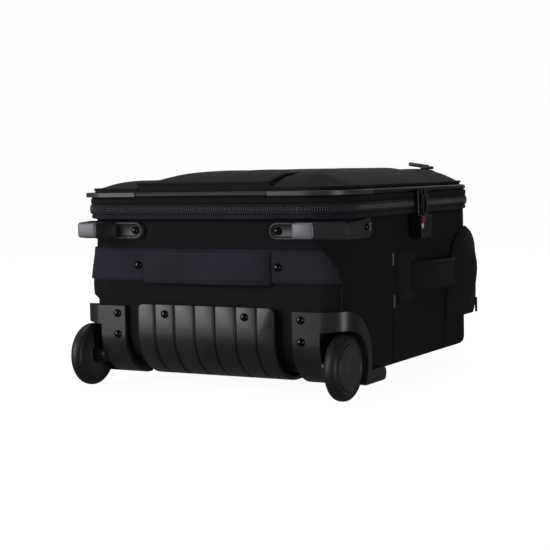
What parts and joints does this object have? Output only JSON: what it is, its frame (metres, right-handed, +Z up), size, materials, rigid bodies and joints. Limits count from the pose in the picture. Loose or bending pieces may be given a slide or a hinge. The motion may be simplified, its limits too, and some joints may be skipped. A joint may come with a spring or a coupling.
{
  "type": "rolling flight case",
  "caption": "Soft-sided rolling flight case lying on its back, with two wheels, telescopic pull handle, zipped lid with pockets, corner feet, carry handles and a small padlock.",
  "frame": {"origin": "middle of the footprint, on the floor that the wheels and the rear rest stand on", "axes": "+Z up through the lid, -Y towards the wheel end, +X towards the side with the padlock and the side handle"},
  "size_m": [0.395, 0.4526, 0.267],
  "materials": {
    "body_fabric": "woven ballistic nylon, near-black",
    "pocket_fabric": "woven ballistic nylon over foam, near-black",
    "webbing": "woven nylon webbing, dark blue-grey",
    "zip_tape": "knitted zip tape with nylon coil",
    "piping": "extruded vinyl piping, satin",
    "lining": "woven polyester lining",
    "moulded_plastic": "injection-moulded nylon, fine grain, satin",
    "strip_plastic": "moulded corner strip, light satin grey",
    "rivet_black": "domed rivet, gloss black lacquer",
    "tyre_rubber": "polyurethane tyre, matte",
    "hub_plastic": "moulded hub, satin grey-black",
    "bearing_steel": "ground steel",
    "tube_aluminium": "anodised aluminium tube",
    "steel_wire": "plated steel",
    "zip_metal": "die-cast zinc, black lacquer",
    "lock_metal": "die-cast zinc, black lacquer",
    "dial_plastic": "moulded number wheel"
  },
  "bodies": {
    "case": {"body_shell": "body_fabric", "rim_frame": "steel_wire", "rim_welt": "piping", "zip_tape_lower": "zip_tape", "floor_lining": "lining", "skid_plate": "moulded_plastic", "wheel_housing_right": "moulded_plastic", "wheel_housing_left": "moulded_plastic", "axles": "bearing_steel", "corner_foot_right": "moulded_plastic", "corner_foot_left": "moulded_plastic", "end_webbing": "webbing", "end_handle": "webbing", "side_handle": "webbing", "top_handle": "webbing", "side_pocket": "pocket_fabric", "outer_tubes": "tube_aluminium", "tube_bracket": "moulded_plastic", "handle_bezel": "moulded_plastic", "rear_rest": "moulded_plastic", "skid_rivets": "rivet_black", "housing_rivets": "rivet_black", "foot_rivets": "rivet_black", "webbing_rivets": "rivet_black"},
    "lid": {"zip_tape_upper": "zip_tape", "lid_flange": "body_fabric", "border_piping": "piping", "lid_panel": "body_fabric", "centre_pocket": "pocket_fabric", "right_pocket": "pocket_fabric", "left_pocket": "pocket_fabric", "corner_strips": "strip_plastic"},
    "wheel_right": {"tyre_right": "tyre_rubber", "hub_right": "hub_plastic", "hub_cap_right": "hub_plastic", "bearing_right": "bearing_steel"},
    "wheel_left": {"tyre_left": "tyre_rubber", "hub_left": "hub_plastic", "hub_cap_left": "hub_plastic", "bearing_left": "bearing_steel"},
    "handle_lower_stage": {"middle_tubes": "tube_aluminium"},
    "handle_upper_stage": {"inner_tubes": "tube_aluminium", "pull_grip": "moulded_plastic"},
    "grip_button": {"grip_button": "hub_plastic"},
    "zip_slider_near": {"slider_near": "zip_metal"},
    "zip_slider_far": {"slider_far": "zip_metal"},
    "zip_pull_near": {"pull_near": "zip_metal"},
    "zip_pull_far": {"pull_far": "zip_metal"},
    "shackle": {"lock_shackle": "steel_wire"},
    "padlock": {"lock_body": "lock_metal"},
    "dial_1": {"lock_dial_1": "dial_plastic"},
    "dial_2": {"lock_dial_2": "dial_plastic"},
    "dial_3": {"lock_dial_3": "dial_plastic"},
    "top_zip": {"top_zip_pull": "zip_metal"},
    "side_zip": {"side_zip_pull": "zip_metal"}
  },
  "joints": [
    {"name": "wheel_right_spin", "type": "hinge", "parent": "case", "child": "wheel_right", "pos_m": [0.1675, -0.1817, 0.0388], "axis": [1, 0, 0], "continuous": true},
    {"name": "wheel_left_spin", "type": "hinge", "parent": "case", "child": "wheel_left", "pos_m": [-0.1855, -0.1817, 0.0388], "axis": [1, 0, 0], "continuous": true},
    {"name": "lid_open", "type": "hinge", "parent": "case", "child": "lid", "pos_m": [-0.197, 0.0067, 0.218], "axis": [0, -1, 0], "range_deg": [0, 170]},
    {"name": "handle_lower_slide", "type": "slide", "parent": "case", "child": "handle_lower_stage", "axis": [0, 1, 0], "range_m": [0, 0.28]},
    {"name": "handle_upper_slide", "type": "slide", "parent": "handle_lower_stage", "child": "handle_upper_stage", "axis": [0, 1, 0], "range_m": [0, 0.27]},
    {"name": "grip_button_press", "type": "slide", "parent": "handle_upper_stage", "child": "grip_button", "axis": [0, -1, 0], "range_m": [0, 0.003], "stiffness_N_per_m": 400},
    {"name": "zip_slider_near_slide", "type": "slide", "parent": "case", "child": "zip_slider_near", "axis": [0, 1, 0], "range_m": [-0.1, 0.1]},
    {"name": "zip_slider_far_slide", "type": "slide", "parent": "case", "child": "zip_slider_far", "axis": [0, 1, 0], "range_m": [-0.1, 0.1]},
    {"name": "zip_pull_near_swing", "type": "hinge", "parent": "zip_slider_near", "child": "zip_pull_near", "pos_m": [0.1875, 0.0062, 0.2298], "axis": [0, -1, 0], "range_deg": [0, 80]},
    {"name": "zip_pull_far_swing", "type": "hinge", "parent": "zip_slider_far", "child": "zip_pull_far", "pos_m": [0.1875, 0.0172, 0.2298], "axis": [0, -1, 0], "range_deg": [0, 80]},
    {"name": "padlock_swing", "type": "hinge", "parent": "zip_slider_near", "child": "shackle", "pos_m": [0.1831, 0.0117, 0.236], "axis": [0, -1, 0], "range_deg": [0, 60]},
    {"name": "shackle_release", "type": "slide", "parent": "shackle", "child": "padlock", "axis": [0, 0, -1], "range_m": [0, 0.008]},
    {"name": "top_zip_slide", "type": "slide", "parent": "lid", "child": "top_zip", "axis": [0, -1, 0], "range_m": [0, 0.33]},
    {"name": "side_zip_slide", "type": "slide", "parent": "case", "child": "side_zip", "axis": [0, 0, 1], "range_m": [0, 0.09]},
    {"name": "dial_1_turn", "type": "hinge", "parent": "padlock", "child": "dial_1", "pos_m": [0.1831, 0.0037, 0.1824], "axis": [0, 1, 0], "continuous": true},
    {"name": "dial_2_turn", "type": "hinge", "parent": "padlock", "child": "dial_2", "pos_m": [0.1831, 0.0117, 0.1824], "axis": [0, 1, 0], "continuous": true},
    {"name": "dial_3_turn", "type": "hinge", "parent": "padlock", "child": "dial_3", "pos_m": [0.1831, 0.0197, 0.1824], "axis": [0, 1, 0], "continuous": true}
  ],
  "couplings": [
    {"joint": "zip_slider_far_slide", "follows": "zip_slider_near_slide", "ratio": 1}
  ]
}
